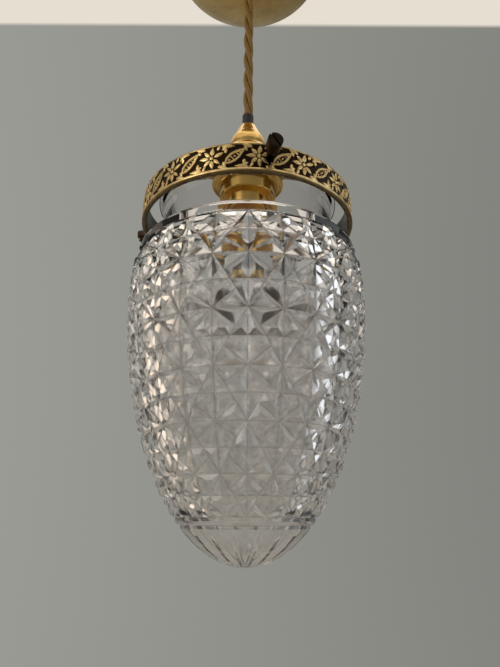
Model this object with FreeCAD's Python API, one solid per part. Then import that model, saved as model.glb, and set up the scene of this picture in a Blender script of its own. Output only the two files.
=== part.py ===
"""Pendant ceiling light: a cut-glass acorn shade in a brass gallery, under a cord-grip lampholder."""
import FreeCAD
import Part
import math
import os

Vector = FreeCAD.Vector

# Frame: millimetres, +Z up. The origin is on the lamp's axis, on the ceiling face.
# Azimuths are counted from the front, which is -Y, towards +X.

# Ceiling fitting
rose_radius = 50.0
rose_skirt = 10.0
rose_depth = 25.0
rose_wall = 1.2
rose_rim_gap = 0.3
strap_clearance = 0.6
strap_width = 18.0
strap_thickness = 1.5
ear_width = 12.0
ear_height = 9.6
strap_screw_spacing = 51.0
strap_screw_hole_radius = 2.5
cover_screw_radius = 1.7
cover_screw_clearance = 0.1
cover_screw_drop = 6.0
cover_screw_head_radius = 3.2
cover_screw_head_height = 2.2
cover_screw_inside = 3.0

# Cord grip of the ceiling fitting
grip_length = 12.0
grip_flange_radius = 8.0
grip_flange_height = 3.0
grip_nose_wall = 1.3
grip_thread_wall = 1.75
grip_thread_clearance = 0.05
grip_bore_clearance = 0.05
grip_thread_above = 2.5
grip_nut_radius = 8.0
grip_nut_height = 2.5
insert_depth = 6.0
insert_wall = 1.1

# Terminal block of the ceiling fitting
block_length = 30.0
block_width = 17.0
block_height = 9.5
block_pitch = 9.6
block_screw_radius = 1.6
block_screw_depth = 2.0
block_way_radius = 1.6
block_way_drop = 5.0
block_way_depth = 6.0

# Flex
flex_diameter = 6.3
flex_run = 102.0
flex_into_rose = 6.5
rose_core_rise = 3.0
rose_core_level = 4.0
rose_core_stand_off = 6.0
core_radius = 0.95
core_seat = 1.4
swing_ball_excess = 1.85
swing_clearance = 0.3

# Sleeve on the flex and cap of the lampholder
sleeve_wall = 0.3
sleeve_height = 8.3
sleeve_inside = 6.0
flex_into_cap = 12.0
wire_straight_share = 0.3
cap_top_wall = 1.4
cap_cone_radius = 8.2
cap_cone_height = 6.9
cap_bell_radius = 11.2
cap_bell_height = 15.2
cap_neck_height = 18.2
cap_shoulder_height = 27.0
cap_height = 39.7
cap_beyond_thread = 2.25
cap_wall = 1.0
cap_hole_clearance = 0.05

# Barrel of the lampholder
barrel_thread_radius = 14.25
barrel_thread_wall = 1.05
barrel_collar_height = 1.2
barrel_upstand_height = 6.0
barrel_upstand_clearance = 0.05
barrel_thread_length = 12.6
barrel_step = 1.0
socket_clearance = 0.4
socket_wall = 1.2
socket_length = 17.5
slot_width = 2.4
slot_rise = 2.5
slot_turn = 22.0
notch_depth = 1.0

# Insulating core, contact plungers and springs
holder_core_clearance = 0.1
holder_core_roof = 1.5
contact_offset = 5.0
plunger_radius = 2.0
plunger_clearance = 0.05
plunger_head_radius = 2.9
plunger_head_height = 1.5
plunger_head_clearance = 0.1
plunger_spare_travel = 4.0
plunger_floor = 3.5
plunger_gap = 0.1
spring_wire_radius = 0.3
spring_mean_radius = 2.4
spring_turns = 4
spring_runs_per_turn = 12
spring_length = 7.0
post_radius = 2.4
post_height = 7.0
post_beyond_contact = 2.0
post_hole_depth = 4.5
post_screw_radius = 1.1
post_screw_head_radius = 1.8
post_screw_head_height = 1.0
post_screw_height = 2.0

# Shade ring under the gallery plate
shade_flange_width = 6.75
shade_flange_height = 1.6
shade_collar_wall = 2.0
shade_ring_height = 10.5
shade_ring_clearance = 0.05

# Gallery: centre plate with three arms, carrying an embossed ring
plate_inside_flange = 0.45
plate_thickness = 1.5
plate_hole_clearance = 0.1
arm_width = 12.0
arm_thickness = 1.3
arm_tab_height = 11.0
arm_bend_clearance = 0.5
arm_foot_drop = 0.5
arm_screw_lag = 49.0
tab_clearance = 0.02
ring_lip_gap = 6.4
ring_wall = 1.8
ring_height = 17.0
ring_drop = 16.3
ring_bead_radius = 1.5
ring_top_bead_radius = 0.9
rivet_radius = 1.25
rivet_head_radius = 2.3
rivet_head_height = 0.9
rivet_drop = 4.6

# Gallery screws
screw_azimuths = (11.0, 131.0, 251.0)
screw_radius = 2.1
screw_clearance = 0.05
screw_tip_gap = 0.1
screw_head_radius = 3.7
screw_head_length = 6.0
screw_head_stand_off = 5.1
screw_slot_width = 0.9
screw_slot_depth = 1.1
screw_lip_gap = 0.1

# Glass shade
glass_radius = 63.5
glass_wall = 5.0
glass_lip_width = 2.8
glass_lip_height = 3.7
glass_neck_radius = 48.0
glass_neck_wall = 4.5
glass_neck_height = 26.2
glass_shoulder_drop = 33.0
glass_belly_drop = 58.7
glass_length = 193.1
glass_upper_rise = 70.7
glass_top_below_plate = 15.1
glass_mouth_bevel = 0.8
glass_shoulder_bow = 0.9
glass_shoulder_share = 0.65
glass_division_drops = (22.0, 75.0, 140.0)

# Bulb
bulb_cap_radius = 11.0
bulb_cap_wall = 0.5
bulb_cap_height = 24.0
bulb_pin_radius = 1.0
bulb_pin_length = 2.2
bulb_pin_drop = 7.0
bulb_travel = 2.5
bulb_insulator_height = 3.0
bulb_contact_radius = 2.2
bulb_contact_height = 0.8
bulb_globe_radius = 22.5
bulb_globe_wall = 0.7
bulb_neck_clearance = 0.2
bulb_neck_inside_cap = 13.0
bulb_neck_below_cap = 3.0
bulb_stem_depth = 8.0
bulb_stem_thickness = 1.2
bulb_stem_root_radius = 4.0
bulb_stem_tip_radius = 1.8
bulb_stem_cone = 8.0
bulb_stem_length = 20.0
bulb_wire_radius = 0.35
bulb_wire_root = 1.2
bulb_wire_spread = 8.0
bulb_wire_drop = 15.0
filament_wire_radius = 0.4
filament_sag = 3.0

# Radii worked out from the sizes above
flex_radius = flex_diameter / 2
swing_ball_radius = flex_radius + swing_ball_excess
swing_reach = math.sqrt((swing_ball_radius + swing_clearance / 2) ** 2 - flex_radius ** 2)
grip_bore_radius = flex_radius + grip_bore_clearance
insert_radius = grip_bore_radius + insert_wall
grip_nose_radius = insert_radius + grip_nose_wall
grip_thread_radius = grip_bore_radius + grip_thread_wall
strap_half_length = rose_radius - rose_wall - strap_clearance
cap_top_radius = flex_radius + sleeve_wall + cap_top_wall
barrel_bore_radius = barrel_thread_radius - barrel_thread_wall
cap_radius = barrel_thread_radius + cap_beyond_thread
barrel_collar_radius = cap_radius
socket_bore_radius = bulb_cap_radius + socket_clearance
holder_core_radius = barrel_bore_radius - holder_core_clearance
shade_flange_radius = barrel_thread_radius + shade_flange_width
shade_collar_radius = barrel_thread_radius + shade_ring_clearance + shade_collar_wall
plate_radius = shade_flange_radius - plate_inside_flange
glass_lip_radius = glass_neck_radius + glass_lip_width
ring_bore_radius = glass_lip_radius + ring_lip_gap
ring_outer_radius = ring_bore_radius + ring_wall
post_offset = contact_offset + post_beyond_contact
bulb_pin_reach = bulb_cap_radius + bulb_pin_length
bulb_neck_radius = bulb_cap_radius - bulb_cap_wall - bulb_neck_clearance
holder_core_height = (plunger_floor + plunger_spare_travel + plunger_head_height
                      + spring_length + holder_core_roof)

# Heights worked out from the sizes above
rose_bottom_z = -rose_depth
grip_mouth_z = rose_bottom_z - grip_length
swing_z = grip_mouth_z - swing_reach
flex_bottom_z = grip_mouth_z - flex_run
tilt_z = flex_bottom_z + swing_reach
cap_top_z = flex_bottom_z - sleeve_height
cap_bottom_z = cap_top_z - cap_height
plate_top_z = cap_bottom_z - barrel_collar_height
plate_bottom_z = plate_top_z - plate_thickness
thread_bottom_z = plate_top_z - barrel_thread_length
socket_mouth_z = thread_bottom_z - socket_length
core_bottom_z = thread_bottom_z + barrel_step
core_top_z = core_bottom_z + holder_core_height
bulb_top_z = core_bottom_z - plunger_floor
bulb_pin_z = bulb_top_z - bulb_pin_drop
bulb_cap_bottom_z = bulb_top_z - bulb_cap_height
plunger_tip_z = bulb_top_z + bulb_contact_height + plunger_gap
plunger_guide_top_z = core_bottom_z + plunger_floor
plunger_head_z = plunger_guide_top_z + plunger_spare_travel
spring_bottom_z = plunger_head_z + plunger_head_height
spring_top_z = spring_bottom_z + spring_length
ring_top_z = plate_top_z - ring_drop
ring_bottom_z = ring_top_z - ring_height
rivet_z = ring_top_z - rivet_drop
glass_top_z = plate_bottom_z - glass_top_below_plate
lip_bottom_z = glass_top_z - glass_lip_height
gallery_screw_z = lip_bottom_z - screw_lip_gap - screw_radius


def turned(start, *steps):
    """Solid turned about Z. A step is a point, or a pair of points for an arc through the first."""
    edges = []
    here = Vector(start[0], 0, start[1])
    first = here
    for step in steps:
        if isinstance(step[0], tuple):
            middle = Vector(step[0][0], 0, step[0][1])
            there = Vector(step[1][0], 0, step[1][1])
            edges.append(Part.Arc(here, middle, there).toShape())
        else:
            there = Vector(step[0], 0, step[1])
            edges.append(Part.LineSegment(here, there).toShape())
        here = there
    if here.distanceToPoint(first) > 1e-6:
        edges.append(Part.LineSegment(here, first).toShape())
    face = Part.Face(Part.Wire(edges))
    return face.revolve(Vector(0, 0, 0), Vector(0, 0, 1), 360)


def tube(inner, outer, bottom, top):
    """Plain tube about Z between two heights."""
    return turned((inner, bottom), (outer, bottom), (outer, top), (inner, top))


def upright(radius, bottom, top, x=0.0, y=0.0):
    """Cylinder along Z."""
    return Part.makeCylinder(radius, top - bottom, Vector(x, y, bottom))


def outward(azimuth):
    """Unit vector that points away from the axis at an azimuth."""
    angle = math.radians(azimuth)
    return Vector(math.sin(angle), -math.cos(angle), 0)


def radial(radius, start, end, z, azimuth):
    """Cylinder along a radius of the lamp, from one distance to another."""
    way = outward(azimuth)
    return Part.makeCylinder(radius, end - start, way * start + Vector(0, 0, z), way)


def around(shape, azimuth):
    """Copy of a shape made on the +X side, turned to an azimuth."""
    placed = shape.copy()
    placed.rotate(Vector(0, 0, 0), Vector(0, 0, 1), azimuth - 90)
    return placed


def joined(shapes):
    """One solid from shapes that meet."""
    whole = shapes[0].fuse(shapes[1:])
    return whole.removeSplitter()


def without(shape, tools):
    """Shape with the tools cut away."""
    return shape.cut(Part.makeCompound(tools))


def bent_rod(points, radius):
    """Rod along straight runs joined by tangent arcs. Gives the solid and its bend radii."""
    places = [Vector(*p) for p in points]
    edges = []
    radii = []
    here = places[0]
    for before, corner, after in zip(places, places[1:], places[2:]):
        back = before - corner
        ahead = after - corner
        turn = math.pi - back.getAngle(ahead)
        cut_back = 0.45 * min(back.Length, ahead.Length)
        radii.append(cut_back / math.tan(turn / 2))
        back.normalize()
        ahead.normalize()
        enter = corner + back * cut_back
        leave = corner + ahead * cut_back
        bisector = back + ahead
        bisector.normalize()
        to_arc = radii[-1] / math.cos(turn / 2) - radii[-1]
        middle = corner + bisector * to_arc
        edges.append(Part.LineSegment(here, enter).toShape())
        edges.append(Part.Arc(enter, middle, leave).toShape())
        here = leave
    edges.append(Part.LineSegment(here, places[-1]).toShape())
    path = Part.Wire(edges)
    start_way = places[1] - places[0]
    section = Part.Wire(Part.makeCircle(radius, places[0], start_way))
    rod = path.makePipeShell([section], True, False)
    return rod, radii


# Ceiling fitting

def ceiling_bracket():
    """Strap that is screwed to the ceiling, with an ear at each end for the cover's screws."""
    strap = Part.makeBox(
        2 * strap_half_length, strap_width, strap_thickness,
        Vector(-strap_half_length, -strap_width / 2, -strap_thickness))
    hull = upright(strap_half_length, -strap_thickness, 0)
    pieces = [strap.common(hull)]
    for side in (-1, 1):
        inner = strap_half_length - strap_thickness
        corner = min(side * inner, side * strap_half_length)
        pieces.append(Part.makeBox(
            strap_thickness, ear_width, ear_height,
            Vector(corner, -ear_width / 2, -ear_height)).common(
                upright(strap_half_length, -ear_height, 0)))
    holes = [upright(strap_screw_hole_radius, -strap_thickness - 1, 1, side * strap_screw_spacing / 2)
             for side in (-1, 1)]
    holes += [radial(cover_screw_radius, strap_half_length - 2 * strap_thickness, strap_half_length + 1,
                     -cover_screw_drop, azimuth) for azimuth in (90, 270)]
    return without(joined(pieces), holes)


def dome_outline(inset):
    """Turned solid of the cover's outer shape, or of its hollow when inset by the wall."""
    top = -rose_rim_gap
    wide = rose_radius - inset
    low = rose_bottom_z + inset
    flat = grip_flange_radius + 4 - inset
    across = wide - flat
    fall = -rose_skirt - low
    bend = (across ** 2 + fall ** 2) / (2 * fall)
    half = math.atan2(across, bend - fall) / 2
    bow = (flat + bend * math.sin(half), low + bend - bend * math.cos(half))
    return turned((0, top), (wide, top), (wide, -rose_skirt), (bow, (flat, low)), (0, low))


def rose_cover():
    """Domed cup that hides the strap and the terminal block."""
    hollow = dome_outline(rose_wall)
    cover = dome_outline(0).cut(hollow)
    hole = upright(grip_thread_radius + grip_thread_clearance, rose_bottom_z - 1, rose_bottom_z + rose_wall + 1)
    screw_holes = [radial(cover_screw_radius + cover_screw_clearance, rose_radius - 2 * rose_wall,
                          rose_radius + 1, -cover_screw_drop, azimuth) for azimuth in (90, 270)]
    return without(cover, [hole] + screw_holes)


def cover_screws():
    """Two dome-headed screws that hold the cover to the ears."""
    screws = []
    for azimuth in (90, 270):
        start = strap_half_length - cover_screw_inside
        shank = radial(cover_screw_radius, start, rose_radius + 0.5, -cover_screw_drop, azimuth)
        head = radial(cover_screw_head_radius, rose_radius, rose_radius + cover_screw_head_height,
                      -cover_screw_drop, azimuth)
        screws.append(joined([shank, head]))
    return Part.makeCompound(screws)


def rose_cord_grip():
    """Brass gland under the cover, with a counterbore for the insert at its mouth."""
    bore = grip_bore_radius
    top = rose_bottom_z + rose_wall + grip_nut_height + grip_thread_above
    shoulder = rose_bottom_z - grip_flange_height
    return turned(
        (bore, top), (grip_thread_radius, top), (grip_thread_radius, rose_bottom_z),
        (grip_flange_radius, rose_bottom_z), (grip_flange_radius, shoulder + 0.8),
        (grip_flange_radius - 0.8, shoulder), (grip_nose_radius + 0.8, shoulder),
        (grip_nose_radius, grip_mouth_z), (insert_radius, grip_mouth_z),
        (insert_radius, grip_mouth_z + insert_depth), (bore, grip_mouth_z + insert_depth))


def rose_grip_nut():
    """Hexagonal lock nut inside the cover."""
    bottom = rose_bottom_z + rose_wall
    corners = [Vector(grip_nut_radius * math.cos(math.radians(60 * i)),
                      grip_nut_radius * math.sin(math.radians(60 * i)), bottom) for i in range(7)]
    nut = Part.Face(Part.makePolygon(corners)).extrude(Vector(0, 0, grip_nut_height))
    return nut.cut(upright(grip_thread_radius + grip_thread_clearance, bottom - 1, bottom + grip_nut_height + 1))


def rose_grip_insert():
    """Insulating bush at the gland's mouth."""
    return tube(grip_bore_radius, insert_radius, grip_mouth_z, grip_mouth_z + insert_depth)


def cupped_flex(pivot_z, far_z):
    """Stretch of flex held by a fitting. Its free end is a cup about the swing's centre."""
    cup = swing_ball_radius + swing_clearance
    rise = math.sqrt(cup ** 2 - flex_radius ** 2)
    side = 1 if far_z > pivot_z else -1
    rim = pivot_z + side * rise
    half = math.asin(flex_radius / cup) / 2
    middle = (cup * math.sin(half), pivot_z + side * cup * math.cos(half))
    end = (0, pivot_z + side * cup)
    return turned((0, far_z), (flex_radius, far_z), (flex_radius, rim), (middle, end))


def rose_flex_end():
    """Flex inside the ceiling fitting's gland."""
    return cupped_flex(swing_z, rose_bottom_z + flex_into_rose)


def terminal_block():
    """Three-way insulating block under the strap."""
    bottom = -strap_thickness - block_height
    block = Part.makeBox(block_length, block_width, block_height,
                         Vector(-block_length / 2, -block_width / 2, bottom))
    tools = []
    for way in (-1, 0, 1):
        x = way * block_pitch
        tools.append(upright(block_screw_radius, bottom - 1, bottom + block_screw_depth, x,
                             block_width / 4))
        tools.append(Part.makeCylinder(
            core_radius + 0.05, block_way_depth + 1,
            Vector(x, -block_width / 2 - 1, -strap_thickness - block_way_drop), Vector(0, 1, 0)))
    return without(block, tools)


def terminal_screws():
    """One clamping screw for each way of the block."""
    bottom = -strap_thickness - block_height
    screws = []
    for way in (-1, 0, 1):
        screw = upright(block_screw_radius, bottom + 0.3, bottom + block_screw_depth,
                        way * block_pitch, block_width / 4)
        slot = Part.makeBox(4, 0.6, 0.7, Vector(way * block_pitch - 2, block_width / 4 - 0.3, bottom))
        screws.append(screw.cut(slot))
    return Part.makeCompound(screws)


def rose_core(way):
    """Insulated conductor from the flex's end to one way of the block."""
    start_angle = math.radians(270 + 120 * way)
    start = (core_seat * math.cos(start_angle), core_seat * math.sin(start_angle))
    x = way * block_pitch
    low = rose_bottom_z + flex_into_rose
    entry = -strap_thickness - block_way_drop
    side = -block_width / 2
    points = [
        (start[0], start[1], low),
        (start[0], start[1], low + rose_core_rise),
        (0.6 * x, 0.8 * side, low + rose_core_level),
        (x, side - rose_core_stand_off, 0.55 * low + 0.45 * entry),
        (x, side - 0.45 * rose_core_stand_off, entry),
        (x, side + block_way_depth, entry)]
    return bent_rod(points, core_radius)


# Flex

def twisted_flex():
    """Free run of flex. Each end is a ball face about its own swing centre."""
    rise = math.sqrt(swing_ball_radius ** 2 - flex_radius ** 2)
    half = math.asin(flex_radius / swing_ball_radius) / 2
    over = swing_ball_radius * math.cos(half)
    across = swing_ball_radius * math.sin(half)
    return turned(
        (0, tilt_z - swing_ball_radius),
        ((across, tilt_z - over), (flex_radius, tilt_z - rise)),
        (flex_radius, swing_z + rise),
        ((across, swing_z + over), (0, swing_z + swing_ball_radius)))


# Lampholder

def flex_sleeve():
    """Black sleeve shrunk on the flex where it enters the cap."""
    return tube(flex_radius, flex_radius + sleeve_wall, cap_top_z - sleeve_inside, flex_bottom_z)


def flex_end():
    """Flex inside the sleeve and the cap."""
    return cupped_flex(tilt_z, cap_top_z - flex_into_cap)


def cap_shape(inset):
    """Turned solid of the cap's outer shape, or of its hollow when inset by the wall."""
    def at(radius, drop):
        return (radius - inset, cap_top_z - drop)
    top = cap_top_z - inset
    bulge = 0.5 * (cap_cone_radius + cap_bell_radius) + 0.55
    crown = (0.5 * (cap_cone_height + cap_bell_height) - 0.3)
    sweep = 0.5 * (cap_bell_radius + cap_radius) + 1.4
    shoulder = 0.5 * (cap_neck_height + cap_shoulder_height) - 1.3
    return turned(
        (0, top), (cap_top_radius - inset * 0.6, top), at(cap_cone_radius, cap_cone_height),
        (at(bulge, crown), at(cap_bell_radius, cap_bell_height)),
        at(cap_bell_radius, cap_neck_height),
        (at(sweep, shoulder), at(cap_radius, cap_shoulder_height)),
        at(cap_radius, cap_height), (0, cap_bottom_z))


def holder_cap():
    """Spun brass cap over the wiring."""
    hollow = cap_shape(cap_wall)
    cap = cap_shape(0).cut(hollow)
    bore = flex_radius + sleeve_wall + cap_hole_clearance
    return cap.cut(upright(bore, cap_top_z - cap_cone_height, cap_top_z + 1))


def slot_cutters():
    """Two bayonet slots: an entry, a turn and a notch where the bulb's pin rests."""
    cutters = []
    inner = socket_bore_radius - 1
    outer = barrel_thread_radius + 1
    turn_top = bulb_pin_z + bulb_travel + bulb_pin_radius + 0.2
    turn_bottom = turn_top - slot_rise
    notch_bottom = bulb_pin_z - bulb_pin_radius - 0.1
    for half_turn in (0, 180):
        entry = Part.makeBox(outer - inner, slot_width, turn_top - socket_mouth_z + 1,
                             Vector(inner, -slot_width / 2, socket_mouth_z - 1))
        entry.rotate(Vector(0, 0, 0), Vector(0, 0, 1), half_turn - slot_turn)
        notch = Part.makeBox(outer - inner, slot_width, turn_top - notch_bottom,
                             Vector(inner, -slot_width / 2, notch_bottom))
        notch.rotate(Vector(0, 0, 0), Vector(0, 0, 1), half_turn)
        corners = [Vector(inner, 0, turn_bottom), Vector(outer, 0, turn_bottom),
                   Vector(outer, 0, turn_top), Vector(inner, 0, turn_top), Vector(inner, 0, turn_bottom)]
        turn = Part.Face(Part.makePolygon(corners)).revolve(Vector(0, 0, 0), Vector(0, 0, 1), slot_turn)
        turn.rotate(Vector(0, 0, 0), Vector(0, 0, 1), half_turn - slot_turn)
        cutters += [entry, notch, turn]
    return cutters


def holder_barrel():
    """Brass barrel: upstand for the cap, collar, shade-ring thread, and bayonet socket."""
    upstand = cap_radius - cap_wall - barrel_upstand_clearance
    socket_outer = socket_bore_radius + socket_wall
    barrel = turned(
        (barrel_bore_radius, cap_bottom_z + barrel_upstand_height),
        (upstand, cap_bottom_z + barrel_upstand_height), (upstand, cap_bottom_z),
        (barrel_collar_radius, cap_bottom_z), (barrel_collar_radius, plate_top_z),
        (barrel_thread_radius, plate_top_z), (barrel_thread_radius, thread_bottom_z),
        (socket_outer, thread_bottom_z), (socket_outer, socket_mouth_z),
        (socket_bore_radius, socket_mouth_z), (socket_bore_radius, core_bottom_z),
        (barrel_bore_radius, core_bottom_z))
    return without(barrel, slot_cutters())


def holder_core():
    """Ceramic core with a stepped bore for each contact plunger."""
    core = upright(holder_core_radius, core_bottom_z, core_top_z)
    bores = []
    for side in (-1, 1):
        y = side * contact_offset
        bores.append(upright(plunger_head_radius + plunger_head_clearance, plunger_guide_top_z,
                             spring_top_z, 0, y))
        bores.append(upright(plunger_radius + plunger_clearance, core_bottom_z - 1,
                             plunger_guide_top_z + 1, 0, y))
    return without(core, bores)


def contact_plungers():
    """Two sprung brass contacts that bear on the bulb."""
    plungers = []
    for side in (-1, 1):
        y = side * contact_offset
        stem = upright(plunger_radius, plunger_tip_z, plunger_head_z + 0.5, 0, y)
        head = upright(plunger_head_radius, plunger_head_z, plunger_head_z + plunger_head_height, 0, y)
        plungers.append(joined([stem, head]))
    return Part.makeCompound(plungers)


def plunger_springs():
    """Coil spring above each plunger, its wire laid in short straight runs."""
    rise = spring_length - 4 * spring_wire_radius
    runs = spring_turns * spring_runs_per_turn
    places = []
    for i in range(runs + 1):
        angle = 2 * math.pi * i / spring_runs_per_turn
        places.append(Vector(spring_mean_radius * math.cos(angle), spring_mean_radius * math.sin(angle),
                             rise * i / runs))
    section = Part.Wire(Part.makeCircle(spring_wire_radius, places[0], places[1] - places[0]))
    mitred = 1
    coil = Part.makePolygon(places).makePipeShell([section], True, False, mitred)
    coil.translate(Vector(0, contact_offset, spring_bottom_z + 2 * spring_wire_radius))
    other = coil.copy()
    other.rotate(Vector(0, 0, 0), Vector(0, 0, 1), 180)
    return Part.makeCompound([coil, other])


def post_places():
    """Live and neutral posts over the plungers, and the earth post beside them."""
    return ((0, post_offset), (0, -post_offset), (-post_offset, 0))


def holder_terminals():
    """Three brass posts on the core, each bored for a conductor."""
    posts = []
    for x, y in post_places():
        post = upright(post_radius, core_top_z, core_top_z + post_height, x, y)
        top = core_top_z + post_height
        bore = upright(core_radius + 0.05, top - post_hole_depth, top + 1, x, y)
        way = Vector(x, y, 0)
        way.normalize()
        centre = Vector(x, y, core_top_z + post_height - post_screw_height)
        screw_hole = Part.makeCylinder(post_screw_radius, post_radius + 1, centre, way)
        posts.append(without(post, [bore, screw_hole]))
    return Part.makeCompound(posts)


def holder_terminal_screws():
    """Clamping screw in the side of each post."""
    screws = []
    for x, y in post_places():
        way = Vector(x, y, 0)
        way.normalize()
        centre = Vector(x, y, core_top_z + post_height - post_screw_height)
        start = centre + way * (core_radius + 0.05)
        shank = Part.makeCylinder(post_screw_radius, post_radius - core_radius + 0.4, start, way)
        head = Part.makeCylinder(post_screw_head_radius, post_screw_head_height,
                                 centre + way * (post_radius + 0.2), way)
        screws.append(joined([shank, head]))
    return Part.makeCompound(screws)


def holder_wire(index):
    """Insulated conductor from the flex's end to one post."""
    x, y = post_places()[index]
    reach = math.hypot(x, y)
    ux, uy = x / reach, y / reach
    low = cap_top_z - flex_into_cap
    post_top = core_top_z + post_height
    straight = wire_straight_share * (low - post_top)
    points = [
        (core_seat * ux, core_seat * uy, low),
        (core_seat * ux, core_seat * uy, low - straight),
        (x, y, post_top + straight),
        (x, y, post_top - post_hole_depth)]
    return bent_rod(points, core_radius)


def shade_ring():
    """Threaded ring that clamps the gallery plate against the barrel's collar."""
    bore = barrel_thread_radius + shade_ring_clearance
    low = plate_bottom_z - shade_ring_height
    flange = plate_bottom_z - shade_flange_height
    return turned(
        (bore, plate_bottom_z), (shade_flange_radius - 0.5, plate_bottom_z),
        (shade_flange_radius, plate_bottom_z - 0.5), (shade_flange_radius, flange + 0.4),
        (shade_flange_radius - 0.4, flange), (shade_collar_radius + 1.2, flange),
        ((shade_collar_radius + 0.35, flange - 0.35), (shade_collar_radius, flange - 1.2)),
        (shade_collar_radius, low + 0.6), (shade_collar_radius - 0.6, low), (bore, low))


# Gallery

def arm_azimuths():
    """Azimuths of the arms, which lie between the screws."""
    return [azimuth + arm_screw_lag for azimuth in screw_azimuths]


def spider_arm():
    """Arm that runs flat past the shade ring, slopes down to the ring, and ends in a tab inside it."""
    bend = shade_flange_radius + arm_bend_clearance
    outer = ring_bore_radius - tab_clearance
    inner = plate_radius / 2
    foot_z = ring_top_z - arm_foot_drop
    tab_bottom_z = ring_top_z - arm_tab_height
    corners = [(inner, plate_bottom_z), (inner, plate_top_z), (bend, plate_top_z), (outer, foot_z),
               (outer, foot_z - plate_thickness), (bend, plate_bottom_z), (inner, plate_bottom_z)]
    side = Part.Face(Part.makePolygon([Vector(x, -arm_width / 2, z) for x, z in corners]))
    strip = side.extrude(Vector(0, arm_width, 0)).common(upright(outer, foot_z - plate_thickness, plate_top_z))
    block = Part.makeBox(4 * arm_thickness, arm_width, foot_z - tab_bottom_z,
                         Vector(outer - 4 * arm_thickness, -arm_width / 2, tab_bottom_z))
    tab = block.common(tube(outer - arm_thickness, outer, tab_bottom_z, foot_z))
    return joined([strip, tab])


def gallery_spider():
    """Centre plate with three arms whose ends turn down inside the ring."""
    arms = [around(spider_arm(), azimuth) for azimuth in arm_azimuths()]
    spider = joined([upright(plate_radius, plate_bottom_z, plate_top_z)] + arms)
    holes = [upright(barrel_thread_radius + plate_hole_clearance, plate_bottom_z - 1, plate_top_z + 1)]
    holes += [radial(rivet_radius, ring_bore_radius - 3, ring_bore_radius + 1, rivet_z, azimuth)
              for azimuth in arm_azimuths()]
    return without(spider, holes)


def gallery_ring():
    """Ring with a rolled bead at its lower edge and a fine one at its upper edge."""
    middle = ring_outer_radius - ring_wall / 2
    low = ring_bottom_z + ring_bead_radius
    high = ring_top_z - ring_top_bead_radius
    band = tube(ring_bore_radius, ring_outer_radius, low, high)
    bead = Part.makeTorus(middle, ring_bead_radius, Vector(0, 0, low))
    top_bead = Part.makeTorus(middle, ring_top_bead_radius, Vector(0, 0, high))
    ring = joined([band, bead, top_bead])
    holes = [radial(screw_radius + screw_clearance, ring_bore_radius - 3, ring_outer_radius + 3,
                    gallery_screw_z, azimuth) for azimuth in screw_azimuths]
    holes += [radial(rivet_radius, ring_bore_radius - 1, ring_outer_radius + 1,
                     rivet_z, azimuth) for azimuth in arm_azimuths()]
    return without(ring, holes)


def gallery_rivets():
    """One rivet through the ring and each arm's tab, flush outside and headed inside."""
    rivets = []
    inner = ring_bore_radius - tab_clearance - arm_thickness
    for azimuth in arm_azimuths():
        shank = radial(rivet_radius, inner - 0.4, ring_outer_radius, rivet_z, azimuth)
        head = radial(rivet_head_radius, inner - 0.3 - rivet_head_height, inner - 0.3, rivet_z, azimuth)
        rivets.append(joined([shank, head]))
    return Part.makeCompound(rivets)


def gallery_screw(azimuth):
    """Slotted thumbscrew that reaches under the glass lip."""
    tip = glass_neck_radius + screw_tip_gap
    head_start = ring_outer_radius + screw_head_stand_off
    head_end = head_start + screw_head_length
    shank = radial(screw_radius, tip, head_start + 0.5, gallery_screw_z, azimuth)
    head = radial(screw_head_radius, head_start, head_end, gallery_screw_z, azimuth)
    screw = joined([shank, head])
    slot = Part.makeBox(screw_slot_depth + 1, screw_slot_width, 3 * screw_head_radius,
                        Vector(head_end - screw_slot_depth, -screw_slot_width / 2,
                               gallery_screw_z - 1.5 * screw_head_radius))
    slot.rotate(Vector(head_end, 0, gallery_screw_z), Vector(1, 0, 0), 35)
    return screw.cut(around(slot, azimuth))


# Glass

def ellipse_point(width, rise, centre_z, z):
    """Radius of an upright ellipse at a height."""
    return width * math.sqrt(1 - ((z - centre_z) / rise) ** 2)


def glass_solid(inset, neck_radius):
    """Turned solid inside the outer skin, or inside the inner skin when inset by the wall."""
    belly_z = glass_top_z - glass_belly_drop
    width = glass_radius - inset
    rise = glass_upper_rise - inset
    drop = glass_length - glass_belly_drop - inset
    tip_z = belly_z - drop
    neck_low = glass_top_z - glass_neck_height - glass_shoulder_share * inset
    shoulder_z = glass_top_z - glass_shoulder_drop - glass_shoulder_share * inset
    shoulder_radius = ellipse_point(width, rise, belly_z, shoulder_z)
    centre = Vector(0, 0, belly_z)
    belly = Vector(width, 0, belly_z)
    tip = Vector(0, 0, tip_z)
    shoulder = Vector(shoulder_radius, 0, shoulder_z)
    neck = Vector(neck_radius, 0, neck_low)
    top = Vector(neck_radius, 0, glass_top_z)
    axis_top = Vector(0, 0, glass_top_z)
    upper = Part.Ellipse(centre + Vector(0, 0, rise), belly, centre)
    lower = Part.Ellipse(centre + Vector(0, 0, drop), belly, centre)
    crown = (shoulder + neck) * 0.5 + Vector(glass_shoulder_bow, 0, glass_shoulder_bow)
    edges = [
        arc_between(lower, tip, belly),
        arc_between(upper, belly, shoulder),
        Part.Arc(shoulder, crown, neck).toShape(),
        Part.LineSegment(neck, top).toShape(),
        Part.LineSegment(top, axis_top).toShape(),
        Part.LineSegment(axis_top, tip).toShape()]
    face = Part.Face(Part.Wire(edges))
    return face.revolve(Vector(0, 0, 0), Vector(0, 0, 1), 360)


def arc_between(curve, start, end):
    """Shorter arc of a closed curve between two points on it."""
    first, last = sorted((curve.parameter(start), curve.parameter(end)))
    whole = curve.LastParameter - curve.FirstParameter
    if last - first > whole / 2:
        first, last = last, first + whole
    return curve.toShape(first, last)


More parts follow.
